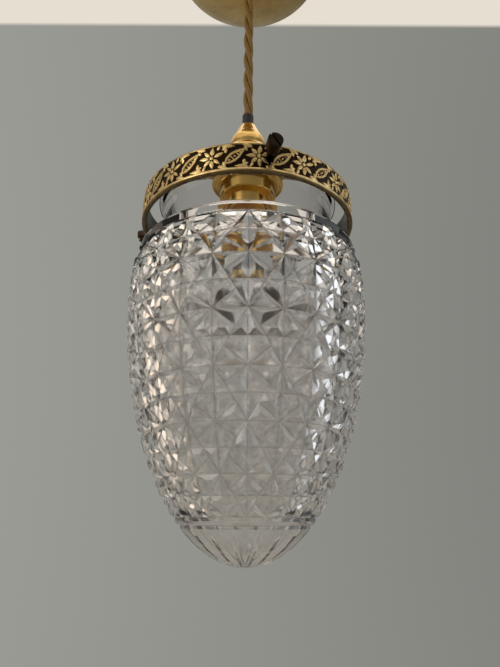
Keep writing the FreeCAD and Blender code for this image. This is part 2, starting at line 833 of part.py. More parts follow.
def glass_shade():
    """Acorn shade with a lip at the top of its neck, hollow and open at the neck."""
    skin = glass_solid(0, glass_neck_radius)
    lip = turned(
        (glass_neck_radius - 1, lip_bottom_z), (glass_lip_radius - 0.5, lip_bottom_z),
        (glass_lip_radius, lip_bottom_z + 0.5), (glass_lip_radius, glass_top_z - glass_mouth_bevel),
        (glass_lip_radius - glass_mouth_bevel, glass_top_z), (glass_neck_radius - 1, glass_top_z))
    hollow = glass_solid(glass_wall, glass_neck_radius - glass_neck_wall)
    return joined([skin, lip]).cut(hollow)


def glass_bands():
    """The shade, which is one pressed piece, divided at level cuts into four bands that meet face to face."""
    shade = glass_shade()
    cuts = [0.0] + list(glass_division_drops) + [glass_length]
    bands = {}
    for name, upper, lower in zip(("neck", "upper", "lower", "tip"), cuts, cuts[1:]):
        slab = upright(glass_radius + glass_wall, glass_top_z - lower, glass_top_z - upper)
        bands["glass_shade_" + name] = shade.common(slab)
    return bands


# Bulb

def bulb_cap():
    """Brass bayonet cap with two side pins."""
    shell = tube(bulb_cap_radius - bulb_cap_wall, bulb_cap_radius, bulb_cap_bottom_z, bulb_top_z)
    pins = [radial(bulb_pin_radius, bulb_cap_radius - bulb_cap_wall, bulb_pin_reach, bulb_pin_z, azimuth)
            for azimuth in (90, 270)]
    bore = upright(bulb_cap_radius - bulb_cap_wall, bulb_cap_bottom_z, bulb_top_z)
    return joined([shell] + pins).cut(bore)


def bulb_insulator():
    """Black insulating disc in the cap's end."""
    return upright(bulb_cap_radius - bulb_cap_wall, bulb_top_z - bulb_insulator_height, bulb_top_z)


def bulb_contacts():
    """Two solder contacts on the insulator."""
    return Part.makeCompound([
        upright(bulb_contact_radius, bulb_top_z, bulb_top_z + bulb_contact_height, 0, side * contact_offset)
        for side in (-1, 1)])


def bulb_profile(inset):
    """Turned solid of the globe and its neck, or of the space inside."""
    neck = bulb_neck_radius - inset
    radius = bulb_globe_radius - inset
    neck_low = bulb_cap_bottom_z - bulb_neck_below_cap
    centre_z = neck_low - math.sqrt(bulb_globe_radius ** 2 - bulb_neck_radius ** 2)
    join_z = centre_z + math.sqrt(radius ** 2 - neck ** 2)
    top = bulb_cap_bottom_z + bulb_neck_inside_cap
    half = math.pi / 2
    return turned(
        (0, top), (neck, top), (neck, join_z),
        ((radius * math.sin(half), centre_z), (0, centre_z - radius)))


def bulb_envelope():
    """Clear glass globe, open at its neck inside the cap."""
    return bulb_profile(0).cut(bulb_profile(bulb_globe_wall))


def bulb_stem():
    """Glass stem that closes the neck and carries the filament."""
    wide = bulb_neck_radius - bulb_globe_wall
    top = bulb_cap_bottom_z + bulb_stem_depth
    low = top - bulb_stem_thickness
    cone_low = low - bulb_stem_cone
    tip = top - bulb_stem_length
    return turned(
        (0, top), (wide, top), (wide, low), (bulb_stem_root_radius, low),
        (bulb_stem_tip_radius, cone_low), (bulb_stem_tip_radius, tip), (0, tip))


def bulb_lead_wires():
    """Two wires from the stem's tip to the ends of the filament."""
    tip = bulb_cap_bottom_z + bulb_stem_depth - bulb_stem_length - bulb_wire_radius
    wires = []
    for side in (-1, 1):
        start = Vector(side * bulb_wire_root, 0, tip)
        way = Vector(side * (bulb_wire_spread - bulb_wire_root), 0, -bulb_wire_drop)
        wires.append(Part.makeCylinder(bulb_wire_radius, way.Length, start, way))
    return Part.makeCompound(wires)


def bulb_filament():
    """Coiled filament between the lead wires, as one fine curved rod."""
    wire_end_z = bulb_cap_bottom_z + bulb_stem_depth - bulb_stem_length - bulb_wire_drop
    z = wire_end_z - 2 * bulb_wire_radius - filament_wire_radius
    arc = Part.Arc(Vector(-bulb_wire_spread, 0, z), Vector(0, 0, z - filament_sag),
                   Vector(bulb_wire_spread, 0, z))
    path = Part.Wire(arc.toShape())
    start_way = arc.tangent(arc.FirstParameter)[0]
    section = Part.Wire(Part.makeCircle(
        filament_wire_radius, Vector(-bulb_wire_spread, 0, z), start_way))
    return path.makePipeShell([section], True, False)


def make_nodes():
    """All sub-parts by node name."""
    nodes = {
        "ceiling_bracket": ceiling_bracket(),
        "rose_cover": rose_cover(),
        "cover_screws": cover_screws(),
        "rose_cord_grip": rose_cord_grip(),
        "rose_grip_nut": rose_grip_nut(),
        "rose_grip_insert": rose_grip_insert(),
        "terminal_block": terminal_block(),
        "terminal_screws": terminal_screws(),
        "rose_flex_end": rose_flex_end(),
        "twisted_flex": twisted_flex(),
        "flex_sleeve": flex_sleeve(),
        "flex_end": flex_end(),
        "holder_cap": holder_cap(),
        "holder_barrel": holder_barrel(),
        "holder_core": holder_core(),
        "holder_terminals": holder_terminals(),
        "holder_terminal_screws": holder_terminal_screws(),
        "contact_plungers": contact_plungers(),
        "plunger_springs": plunger_springs(),
        "shade_ring": shade_ring(),
        "gallery_spider": gallery_spider(),
        "gallery_ring": gallery_ring(),
        "gallery_rivets": gallery_rivets(),
        "bulb_cap": bulb_cap(),
        "bulb_insulator": bulb_insulator(),
        "bulb_contacts": bulb_contacts(),
        "bulb_envelope": bulb_envelope(),
        "bulb_stem": bulb_stem(),
        "bulb_lead_wires": bulb_lead_wires(),
        "bulb_filament": bulb_filament(),
    }
    nodes.update(glass_bands())
    for number, azimuth in enumerate(screw_azimuths, 1):
        nodes["gallery_screw_%d" % number] = gallery_screw(azimuth)
    for name, way in (("live", -1), ("earth", 0), ("neutral", 1)):
        nodes["rose_core_" + name], radii = rose_core(way)
        print("rose_core_" + name, "bend radii", [round(r, 1) for r in radii])
    for index, name in enumerate(("live", "neutral", "earth")):
        nodes["holder_wire_" + name], radii = holder_wire(index)
        print("holder_wire_" + name, "bend radii", [round(r, 1) for r in radii])
    return nodes


os.makedirs("parts", exist_ok=True)
for name, shape in make_nodes().items():
    shape.exportStep("parts/%s.step" % name)
    box = shape.BoundBox
    print("%-24s solids %d  volume %.1f  z %.2f to %.2f  width %.2f  valid %s" % (
        name, len(shape.Solids), shape.Volume, box.ZMin, box.ZMax, box.XLength, shape.isValid()))
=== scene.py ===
import bmesh
import bpy
import math
from mathutils import Matrix, Vector


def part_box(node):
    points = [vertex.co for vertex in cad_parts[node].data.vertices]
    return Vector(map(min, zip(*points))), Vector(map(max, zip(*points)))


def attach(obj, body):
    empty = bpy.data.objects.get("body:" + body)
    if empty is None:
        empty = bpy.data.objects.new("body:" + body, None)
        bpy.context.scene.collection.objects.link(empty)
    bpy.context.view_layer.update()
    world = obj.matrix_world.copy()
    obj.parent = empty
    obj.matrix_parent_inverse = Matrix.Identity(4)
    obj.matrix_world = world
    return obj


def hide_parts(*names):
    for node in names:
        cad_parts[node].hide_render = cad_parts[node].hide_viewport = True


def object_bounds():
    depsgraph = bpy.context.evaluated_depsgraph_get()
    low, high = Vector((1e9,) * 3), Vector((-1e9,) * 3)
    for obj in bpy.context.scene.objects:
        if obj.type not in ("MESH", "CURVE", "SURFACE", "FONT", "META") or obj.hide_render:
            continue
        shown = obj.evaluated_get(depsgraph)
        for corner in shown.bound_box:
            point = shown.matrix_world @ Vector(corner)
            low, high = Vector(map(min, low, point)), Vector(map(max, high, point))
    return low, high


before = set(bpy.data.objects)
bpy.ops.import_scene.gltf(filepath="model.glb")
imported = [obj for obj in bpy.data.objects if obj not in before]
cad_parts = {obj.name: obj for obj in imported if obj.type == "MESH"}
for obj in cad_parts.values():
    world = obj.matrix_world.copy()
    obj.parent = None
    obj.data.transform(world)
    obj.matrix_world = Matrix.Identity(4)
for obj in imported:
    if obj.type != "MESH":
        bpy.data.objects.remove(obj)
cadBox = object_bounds()
print("stage: frame loaded")

scene = bpy.context.scene
scene.view_settings.view_transform = "Standard"


def outward(azimuth):
    # unit vector away from the lamp's axis; azimuth 0 is the front, -Y
    angle = math.radians(azimuth)
    return Vector((math.sin(angle), -math.cos(angle), 0))


def meshObject(name, bm, material=None, smoothAngle=None):
    # turns a bmesh into an object; faces under smoothAngle shade as one surface
    if smoothAngle is not None:
        for face in bm.faces:
            face.smooth = True
        for edge in bm.edges:
            edge.smooth = edge.is_manifold and edge.calc_face_angle(0) < math.radians(smoothAngle)
    mesh = bpy.data.meshes.new(name)
    bm.to_mesh(mesh)
    bm.free()
    piece = bpy.data.objects.new(name, mesh)
    scene.collection.objects.link(piece)
    if material:
        mesh.materials.append(material)
    return piece


def spinProfile(bm, profile, segments, loop=False):
    # turns a list of (radius, z) about Z into a surface; loop joins its last point to its first
    verts = [bm.verts.new((0, -r, z)) for r, z in profile]
    edges = [bm.edges.new(pair) for pair in zip(verts, verts[1:])]
    if loop:
        edges.append(bm.edges.new((verts[-1], verts[0])))
    bmesh.ops.spin(bm, geom=verts + edges, cent=(0, 0, 0), axis=(0, 0, 1),
                   angle=2 * math.pi, steps=segments, use_merge=True)
    bmesh.ops.remove_doubles(bm, verts=bm.verts, dist=1e-6)


view = {
    "place": (0.0019, -0.2748, -0.3756),
    "pitch": 18.86,
    "roll": 0.28,
    "lens": 38.88,
    "sensor": 36,
    "nearest": 0.01,
}


def makeCamera():
    data = bpy.data.cameras.new("camera")
    data.sensor_fit = "HORIZONTAL"
    data.sensor_width = view["sensor"]
    data.lens = view["lens"]
    data.clip_start = view["nearest"]
    camera = bpy.data.objects.new("camera", data)
    scene.collection.objects.link(camera)
    tilt = Matrix.Rotation(math.radians(90 + view["pitch"]), 4, "X")
    lean = Matrix.Rotation(math.radians(view["roll"]), 4, "Z")
    camera.matrix_world = Matrix.Translation(view["place"]) @ tilt @ lean
    scene.camera = camera


room = {
    "wallLeft": (0.327, 0.328, 0.301),
    "wallRight": (0.230, 0.230, 0.212),
    "wallBlend": 0.42,
    "ceiling": (0.79, 0.73, 0.64),
    "ceilingSlope": 1.134,
    "ceilingBlend": 0.006,
    "behindCamera": 0.45,
    "behindBlend": (-0.5, 0.2),
    "floorColours": ((0.62, 0.61, 0.58), (0.56, 0.55, 0.52)),
    "floorDrop": 1.1,
    "floorSize": 5.0,
}
lamps = {
    # name: place, size, radiance, colour
    "windowRight": ((1.30, -0.35, -0.15), (1.3, 1.5), 1.1, (0.86, 0.93, 1.0)),
    "keyLeft": ((-1.00, -0.90, 0.10), (0.8, 0.8), 3.0, (1.0, 0.93, 0.84)),
    "top": ((0.10, 0.05, 1.0), (1.2, 1.2), 0.5, (1.0, 0.98, 0.95)),
    "warmLeft": ((-1.15, 0.20, -0.30), (0.5, 1.0), 1.0, (1.0, 0.80, 0.62)),
}


def makeRoom():
    # a box room far away: grey walls, lighter to the left, under a pale ceiling; the wall
    # behind the front view gives less light, though the view, metal and glass show it as pale
    world = bpy.data.worlds.new("room")
    scene.world = world
    world.use_nodes = True
    nodes = world.node_tree.nodes
    links = world.node_tree.links
    where = nodes.new("ShaderNodeTexCoord")
    size = nodes.new("ShaderNodeVectorMath")
    size.operation = "ABSOLUTE"
    split = nodes.new("ShaderNodeSeparateXYZ")
    splitSize = nodes.new("ShaderNodeSeparateXYZ")
    nearest = nodes.new("ShaderNodeMath")
    nearest.operation = "MAXIMUM"
    slope = nodes.new("ShaderNodeMath")
    slope.operation = "DIVIDE"
    across = nodes.new("ShaderNodeMapRange")
    across.inputs["From Min"].default_value = -room["wallBlend"]
    across.inputs["From Max"].default_value = room["wallBlend"]
    upward = nodes.new("ShaderNodeMapRange")
    upward.inputs["From Min"].default_value = room["ceilingSlope"] - room["ceilingBlend"]
    upward.inputs["From Max"].default_value = room["ceilingSlope"] + room["ceilingBlend"]
    behind = nodes.new("ShaderNodeMapRange")
    behind.inputs["From Min"].default_value = room["behindBlend"][0]
    behind.inputs["From Max"].default_value = room["behindBlend"][1]
    behind.inputs["To Min"].default_value = room["behindCamera"]
    seen = nodes.new("ShaderNodeLightPath")
    strengths = [nodes.new("ShaderNodeMath") for ray in range(3)]
    wall = nodes.new("ShaderNodeMix")
    whole = nodes.new("ShaderNodeMix")
    for mix in (wall, whole):
        mix.data_type = "RGBA"
    wall.inputs["A"].default_value = (*room["wallLeft"], 1)
    wall.inputs["B"].default_value = (*room["wallRight"], 1)
    whole.inputs["B"].default_value = (*room["ceiling"], 1)
    links.new(where.outputs["Generated"], split.inputs[0])
    links.new(where.outputs["Generated"], size.inputs[0])
    links.new(size.outputs["Vector"], splitSize.inputs[0])
    links.new(splitSize.outputs["X"], nearest.inputs[0])
    links.new(splitSize.outputs["Y"], nearest.inputs[1])
    links.new(split.outputs["Z"], slope.inputs[0])
    links.new(nearest.outputs[0], slope.inputs[1])
    links.new(split.outputs["X"], across.inputs["Value"])
    links.new(slope.outputs[0], upward.inputs["Value"])
    links.new(across.outputs["Result"], wall.inputs["Factor"])
    links.new(upward.outputs["Result"], whole.inputs["Factor"])
    links.new(wall.outputs["Result"], whole.inputs["A"])
    links.new(whole.outputs["Result"], nodes["Background"].inputs["Color"])
    links.new(split.outputs["Y"], behind.inputs["Value"])
    strength = behind.outputs["Result"]
    for node, ray in zip(strengths, ("Is Camera Ray", "Is Glossy Ray", "Is Transmission Ray")):
        node.operation = "MAXIMUM"
        links.new(strength, node.inputs[0])
        links.new(seen.outputs[ray], node.inputs[1])
        strength = node.outputs[0]
    links.new(strength, nodes["Background"].inputs["Strength"])


def makeFloor():
    floorMesh = bmesh.new()
    bmesh.ops.create_grid(floorMesh, x_segments=1, y_segments=1, size=room["floorSize"] / 2,
                          matrix=Matrix.Translation((0, 0, -room["floorDrop"])))
    floor = meshObject("floor", floorMesh, coatMaterial("floorPaint", *room["floorColours"], 6, 0.7, 0.8))


def makeLamps():
    middle = Vector((0, 0, 0.5 * (cadBox[0][2] + cadBox[1][2])))
    for name, (place, size, radiance, colour) in lamps.items():
        data = bpy.data.lights.new(name, "AREA")
        data.shape = "RECTANGLE"
        data.size, data.size_y = size
        data.energy = radiance * math.pi * size[0] * size[1]
        data.color = colour
        lamp = bpy.data.objects.new(name, data)
        scene.collection.objects.link(lamp)
        turn = (middle - Vector(place)).to_track_quat("-Z", "Y")
        lamp.matrix_world = Matrix.Translation(place) @ turn.to_matrix().to_4x4()


def newGroup(name, inputs, outputs):
    # node group with named sockets; each entry is (name, kind, default)
    group = bpy.data.node_groups.new(name, "ShaderNodeTree")
    for socketName, kind, default in inputs:
        socket = group.interface.new_socket(socketName, in_out="INPUT", socket_type="NodeSocket" + kind)
        if default is not None:
            socket.default_value = default
    for socketName, kind in outputs:
        group.interface.new_socket(socketName, in_out="OUTPUT", socket_type="NodeSocket" + kind)
    start = group.nodes.new("NodeGroupInput")
    end = group.nodes.new("NodeGroupOutput")
    return group, start, end


tarnish = {
    "cloudDetail": 6,
    "cloudRoughness": 0.62,
    "cloudEnds": (0.36, 0.66),
    "speckDetail": 3,
    "speckFineness": 9.0,
}


def makeTarnish():
    # two colours mixed by cloudy noise, with a roughness that follows the darker places
    group, start, end = newGroup(
        "tarnish",
        [("Clean", "Color", (0.8, 0.6, 0.3, 1)), ("Dull", "Color", (0.4, 0.25, 0.1, 1)),
         ("Scale", "Float", 60.0), ("Amount", "Float", 0.5),
         ("Smooth", "Float", 0.2), ("Rough", "Float", 0.5)],
        [("Colour", "Color"), ("Roughness", "Float"), ("Height", "Float")])
    nodes, links = group.nodes, group.links
    where = nodes.new("ShaderNodeTexCoord")
    cloud = nodes.new("ShaderNodeTexNoise")
    cloud.inputs["Detail"].default_value = tarnish["cloudDetail"]
    cloud.inputs["Roughness"].default_value = tarnish["cloudRoughness"]
    speck = nodes.new("ShaderNodeTexNoise")
    speck.inputs["Detail"].default_value = tarnish["speckDetail"]
    finer = nodes.new("ShaderNodeMath")
    finer.operation = "MULTIPLY"
    finer.inputs[1].default_value = tarnish["speckFineness"]
    spread = nodes.new("ShaderNodeMapRange")
    spread.inputs["From Min"].default_value = tarnish["cloudEnds"][0]
    spread.inputs["From Max"].default_value = tarnish["cloudEnds"][1]
    strength = nodes.new("ShaderNodeMath")
    strength.operation = "MULTIPLY"
    mix = nodes.new("ShaderNodeMix")
    mix.data_type = "RGBA"
    rough = nodes.new("ShaderNodeMapRange")
    links.new(where.outputs["Object"], cloud.inputs["Vector"])
    links.new(where.outputs["Object"], speck.inputs["Vector"])
    links.new(start.outputs["Scale"], cloud.inputs["Scale"])
    links.new(start.outputs["Scale"], finer.inputs[0])
    links.new(finer.outputs[0], speck.inputs["Scale"])
    links.new(cloud.outputs["Fac"], spread.inputs["Value"])
    links.new(spread.outputs["Result"], strength.inputs[0])
    links.new(start.outputs["Amount"], strength.inputs[1])
    links.new(strength.outputs[0], mix.inputs["Factor"])
    links.new(start.outputs["Clean"], mix.inputs["A"])
    links.new(start.outputs["Dull"], mix.inputs["B"])
    links.new(strength.outputs[0], rough.inputs["Value"])
    links.new(start.outputs["Smooth"], rough.inputs["To Min"])
    links.new(start.outputs["Rough"], rough.inputs["To Max"])
    links.new(mix.outputs["Result"], end.inputs["Colour"])
    links.new(rough.outputs["Result"], end.inputs["Roughness"])
    links.new(speck.outputs["Fac"], end.inputs["Height"])
    return group


tarnishGroup = makeTarnish()


def addBump(material, heightSocket, strength, distance):
    nodes, links = material.node_tree.nodes, material.node_tree.links
    bump = nodes.new("ShaderNodeBump")
    bump.inputs["Strength"].default_value = strength
    bump.inputs["Distance"].default_value = distance
    links.new(heightSocket, bump.inputs["Height"])
    links.new(bump.outputs["Normal"], nodes["Principled BSDF"].inputs["Normal"])
    return bump


def addTarnish(nodes, clean, dull, scale, amount, smooth, rough):
    surface = nodes.new("ShaderNodeGroup")
    surface.node_tree = tarnishGroup
    surface.inputs["Clean"].default_value = (*clean, 1)
    surface.inputs["Dull"].default_value = (*dull, 1)
    surface.inputs["Scale"].default_value = scale
    surface.inputs["Amount"].default_value = amount
    surface.inputs["Smooth"].default_value = smooth
    surface.inputs["Rough"].default_value = rough
    return surface


def metalMaterial(name, clean, dull, scale, amount, smooth, rough, bump=0.15, metallic=1.0):
    material = bpy.data.materials.new(name)
    material.use_nodes = True
    nodes, links = material.node_tree.nodes, material.node_tree.links
    shader = nodes["Principled BSDF"]
    shader.inputs["Metallic"].default_value = metallic
    surface = addTarnish(nodes, clean, dull, scale, amount, smooth, rough)
    links.new(surface.outputs["Colour"], shader.inputs["Base Color"])
    links.new(surface.outputs["Roughness"], shader.inputs["Roughness"])
    addBump(material, surface.outputs["Height"], bump, 0.0002)
    return material


def coatMaterial(name, clean, dull, scale, smooth, rough, amount=0.8, bump=0.1):
    # paint, plastic, rubber or ceramic: the same clouding without the metal
    return metalMaterial(name, clean, dull, scale, amount, smooth, rough, bump, metallic=0.0)


def glassMaterial(name, colour, roughness, ior, waveScale):
    # clear glass with the faint waviness left by its making
    material = bpy.data.materials.new(name)
    material.use_nodes = True
    nodes, links = material.node_tree.nodes, material.node_tree.links
    shader = nodes["Principled BSDF"]
    shader.inputs["Base Color"].default_value = (*colour, 1)
    shader.inputs["Roughness"].default_value = roughness
    shader.inputs["IOR"].default_value = ior
    shader.inputs["Transmission Weight"].default_value = 1.0
    where = nodes.new("ShaderNodeTexCoord")
    wave = nodes.new("ShaderNodeTexNoise")
    wave.inputs["Scale"].default_value = waveScale
    wave.inputs["Detail"].default_value = 2
    links.new(where.outputs["Object"], wave.inputs["Vector"])
    addBump(material, wave.outputs["Fac"], 0.08, 0.0004)
    return material


def cutGlassMaterial():
    # clear outside; the hollow's wall is a little hazy; the bottoms of the cut grooves are painted grey as
    # painted shade
    material = glassMaterial("cutGlass", shade["clear"], 0.0, 1.5, 70)
    nodes, links = material.node_tree.nodes, material.node_tree.links
    shader = nodes["Principled BSDF"]
    hollow = nodes.new("ShaderNodeAttribute")
    hollow.attribute_name = "hollow"
    haze = nodes.new("ShaderNodeMapRange")
    haze.inputs["To Max"].default_value = shade["haze"]
    # the deepest parts of the cuts are tinted grey: painted shade in the grooves
    cut = nodes.new("ShaderNodeAttribute")
    cut.attribute_name = "cutDepth"
    line = nodes.new("ShaderNodeMapRange")
    line.inputs["From Min"].default_value = shade["grooveShadeStart"]
    grooveShadeTint = nodes.new("ShaderNodeMix")
    grooveShadeTint.data_type = "RGBA"
    grooveShadeTint.inputs["A"].default_value = (*shade["clear"], 1)
    grooveShadeTint.inputs["B"].default_value = (*shade["paintedGrooveShade"], 1)
    links.new(cut.outputs["Fac"], line.inputs["Value"])
    links.new(line.outputs["Result"], grooveShadeTint.inputs["Factor"])
    links.new(grooveShadeTint.outputs["Result"], shader.inputs["Base Color"])
    links.new(hollow.outputs["Fac"], haze.inputs["Value"])
    links.new(haze.outputs["Result"], shader.inputs["Roughness"])
    return material


makeCamera()
makeRoom()
makeFloor()
makeLamps()
print("stage: camera, lamps and room")


flex = {
    "route": ((0, 0, -0.1389), (0, 0, -0.1050), (0, 0, -0.0710), (0, 0, -0.0371)),
    "strandRadius": 0.00146,
    "strandOffset": 0.00169,
    "lead": 0.048,
    "phase": 40.0,
    "segments": 14,
    "threadsAround": 12,
    "threadTurns": 420.0,
    # painted shade: the gaps between the threads are painted dark brown
    "paintedGapShade": (0.24, 0.13, 0.02),
    "threadGold": (0.98, 0.70, 0.18),
    "colourEnds": (0.25, 0.85),
}


def routePoints(name, points, resolution):
    # points along the route's own smooth line
    curve = bpy.data.curves.new(name, "CURVE")
    curve.dimensions = "3D"
    spline = curve.splines.new("NURBS")
    spline.points.add(len(points) - 1)
    for point, place in zip(spline.points, points):
        point.co = (*place, 1)
    spline.order_u = 3
    spline.use_endpoint_u = True
    spline.resolution_u = resolution
    holder = bpy.data.objects.new(name, curve)
    scene.collection.objects.link(holder)
    bpy.context.view_layer.update()
    line = bpy.data.meshes.new_from_object(holder)
    found = [v.co.copy() for v in line.vertices]
    bpy.data.objects.remove(holder)
    bpy.data.curves.remove(curve)
    bpy.data.meshes.remove(line)
    return found


def makeBraid():
    # two crossing sets of threads laid over UV; the height is low in the gaps between them
    group, start, end = newGroup(
        "braid", [("Around", "Float", 12.0), ("Along", "Float", 400.0)],
        [("Height", "Float")])
    nodes, links = group.nodes, group.links

    def sums(kind, a, b=None, value=None):
        node = nodes.new("ShaderNodeMath")
        node.operation = kind
        links.new(a, node.inputs[0])
        if b is not None:
            links.new(b, node.inputs[1])
        if value is not None:
            node.inputs[1].default_value = value
        return node.outputs[0]

    layout = nodes.new("ShaderNodeUVMap")
    layout.uv_map = "braid"
    split = nodes.new("ShaderNodeSeparateXYZ")
    links.new(layout.outputs["UV"], split.inputs[0])
    around = sums("MULTIPLY", split.outputs["X"], start.outputs["Around"])
    along = sums("MULTIPLY", split.outputs["Y"], start.outputs["Along"])
    rising = sums("ADD", around, along)
    falling = sums("SUBTRACT", around, along)
    waveA = sums("ABSOLUTE", sums("SINE", sums("MULTIPLY", rising, value=math.pi)))
    waveB = sums("ABSOLUTE", sums("SINE", sums("MULTIPLY", falling, value=math.pi)))
    top = sums("MAXIMUM", waveA, waveB)
    low = sums("MINIMUM", waveA, waveB)
    height = sums("ADD", sums("MULTIPLY", top, value=0.6), sums("MULTIPLY", low, value=0.4))
    links.new(height, end.inputs["Height"])
    return group


def flexMaterial():
    material = bpy.data.materials.new("goldBraid")
    material.use_nodes = True
    nodes, links = material.node_tree.nodes, material.node_tree.links
    shader = nodes["Principled BSDF"]
    shader.inputs["Roughness"].default_value = 0.55
    braid = nodes.new("ShaderNodeGroup")
    braid.node_tree = makeBraid()
    braid.inputs["Around"].default_value = flex["threadsAround"]
    braid.inputs["Along"].default_value = flex["threadTurns"]
    # the ramp paints shade into the braid: dark brown where its height is low, in the gaps between threads,
    # and gold on the threads
    ramp = nodes.new("ShaderNodeValToRGB")
    colours = (flex["paintedGapShade"], flex["threadGold"])
    for element, position, colour in zip(ramp.color_ramp.elements, flex["colourEnds"], colours):
        element.position = position
        element.color = (*colour, 1)
    links.new(braid.outputs["Height"], ramp.inputs["Fac"])
    links.new(ramp.outputs["Color"], shader.inputs["Base Color"])
    addBump(material, braid.outputs["Height"], 0.6, 0.00025)
    return material


def addStrand(bm, centres, phase):
    # one braided core, extruded ring by ring along its helix about the route
    uv = bm.loops.layers.uv.verify()
    index = bm.verts.layers.int.get("ringIndex") or bm.verts.layers.int.new("ringIndex")
    reach = bm.verts.layers.float.get("reach") or bm.verts.layers.float.new("reach")
    before = set(bm.faces)
    places = []
    travelled = 0.0
    for number, centre in enumerate(centres):
        if number:
            travelled += (centre - centres[number - 1]).length
        angle = math.radians(phase) - 2 * math.pi * travelled / flex["lead"]
        aside = flex["strandOffset"] * Vector((math.cos(angle), math.sin(angle), 0))
        places.append((centre + aside, travelled))
    circle = None
    for number, (place, length) in enumerate(places):
        ahead = places[min(number + 1, len(places) - 1)][0] - places[max(number - 1, 0)][0]
        turn = ahead.to_track_quat("Z", "X").to_matrix().to_4x4()
        matrix = Matrix.Translation(place) @ turn
        if circle is None:
            made = bmesh.ops.create_circle(bm, segments=flex["segments"], radius=flex["strandRadius"],
                                           cap_ends=False, matrix=matrix)
            circle = made["verts"]
            for i, vert in enumerate(circle):
                vert[index] = i
            edges = list({edge for vert in circle for edge in vert.link_edges})
            lastMatrix = matrix
            continue
        made = bmesh.ops.extrude_edge_only(bm, edges=edges)["geom"]
        circle = [g for g in made if isinstance(g, bmesh.types.BMVert)]
        edges = [g for g in made if isinstance(g, bmesh.types.BMEdge)]
        bmesh.ops.transform(bm, matrix=matrix @ lastMatrix.inverted(), verts=circle)
        for vert in circle:
            vert[reach] = length
        lastMatrix = matrix
    segments = flex["segments"]
    for face in set(bm.faces) - before:
        counts = [loop.vert[index] for loop in face.loops]
        crosses = max(counts) - min(counts) > segments / 2
        for loop, count in zip(face.loops, counts):
            across = count + (segments if crosses and count < segments / 2 else 0)
            loop[uv].uv = (across / segments, loop.vert[reach])


def makeFlex():
    centres = routePoints("flexRoute", flex["route"], 24)
    bm = bmesh.new()
    for strand in range(3):
        addStrand(bm, centres, flex["phase"] + 120 * strand)
    bmesh.ops.holes_fill(bm, edges=[edge for edge in bm.edges if edge.is_boundary], sides=0)
    bmesh.ops.recalc_face_normals(bm, faces=bm.faces)
    print("flex faces", len(bm.faces), "open edges", sum(1 for e in bm.edges if not e.is_manifold))
    piece = meshObject("twistedFlex", bm, flexMaterial(), smoothAngle=40)
    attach(piece, "flex")
    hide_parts("twisted_flex")
    return piece


makeFlex()
print("stage: flex")


glassNodes = sorted(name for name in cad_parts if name.startswith("glass_shade"))
glassLow = [min(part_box(name)[0][i] for name in glassNodes) for i in range(3)]
glassHigh = [max(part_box(name)[1][i] for name in glassNodes) for i in range(3)]
shade = {
    "radius": 0.0635,
    "bellyDrop": 0.0587,
    "upperRise": 0.0707,
    "wall": 0.005,
    "wallShare": 0.65,
    "shoulderDrop": 0.0330,
    "shoulderBow": 0.0009,
    "shoulderSteps": 9,
    "neckRadius": 0.048,
    "neckInside": 0.0435,
    "neckHeight": 0.0262,
    "lipRadius": 0.0507,
    "lipHeight": 0.0037,
    "lipRound": 0.0014,
    "underLip": 0.0008,
    "coveOut": 0.0006,
    "coveUp": (0.0003, 0.0012),
    "innerEdge": ((0.0012, 0.0002), (0.0003, 0.0007), (0.0, 0.0016)),    # out and down from its top
    "innerNeckEnd": 0.001,
    "inset": 0.0002,        # the lip and the tip stand this far inside the CAD box
    "turn": 1.0,
    "columns": 24,
    "clear": (0.955, 0.935, 0.925),
    # painted shade: the grey tinted into the bottoms of the cut grooves, and the share of the cut's depth
    # where it begins
    "paintedGrooveShade": (0.50, 0.47, 0.45),
    "grooveShadeStart": 0.86,
    "haze": 0.17,
    "hazeStart": 0.3,
    "hazeRise": 0.08,
    "rowDrops": (0.0358, 0.0594, 0.0854, 0.1103, 0.1330, 0.1540, 0.1713),
    "grooveShare": 0.185,
    "cutShare": 0.118,
    "stepsPerColumn": 6,
    "plainRim": 0.0021,
    "plainStart": 0.0010,
    "plainSunk": 0.0001,
    "hollowSteps": 56,
    "domeSteps": 22,
    "beadDrop": 0.1747,
    "beadGroove": 0.0009,
    "beadGrooveHigh": 0.0008,
    "beadGrooveLow": 0.0009,
    "flutes": 18,
    "fluteDepth": 0.0005,
    "fluteStart": 0.0025,
    "fluteHalfAngle": 0.4,
    "fluteFade": (0.002, 0.010),
}
shadeTop = glassHigh[2]
bellyZ = shadeTop - shade["bellyDrop"]
lowerDrop = bellyZ - glassLow[2] - shade["inset"]
neckLow = shadeTop - shade["neckHeight"]
shoulderZ = shadeTop - shade["shoulderDrop"]
insideShoulder = shoulderZ - shade["wallShare"] * shade["wall"]
insideTip = bellyZ - lowerDrop + shade["wall"]
beadLow = shadeTop - shade["beadDrop"]
starRows = [shadeTop - drop for drop in shade["rowDrops"]]
columnAngle = 360 / shade["columns"]
ringSteps = shade["columns"] * shade["stepsPerColumn"]


def outline(z, inset=0.0):
    # radius of the shade's skin at a height
    rise = (shade["upperRise"] if z > bellyZ else lowerDrop) - inset
    share = min(1.0, abs(z - bellyZ) / rise)
    return (shade["radius"] - inset) * math.sqrt(1 - share * share)


def outlineNormal(z):
    # the skin's outward direction at a height, as (radial, upward)
    rise = shade["upperRise"] if z > bellyZ else lowerDrop
    normal = Vector((outline(z) / shade["radius"] ** 2, (z - bellyZ) / rise ** 2))
    return normal.normalized()


def columnWidth(z):
    return 2 * math.pi * outline(z) / shade["columns"]


def cutPoint(azimuth, z, depth):
    # place on the skin at an azimuth and height, sunk by the cut's depth
    normal = outlineNormal(z)
    radius = outline(z) - normal.x * depth
    return outward(azimuth) * radius + Vector((0, 0, z - normal.y * depth))


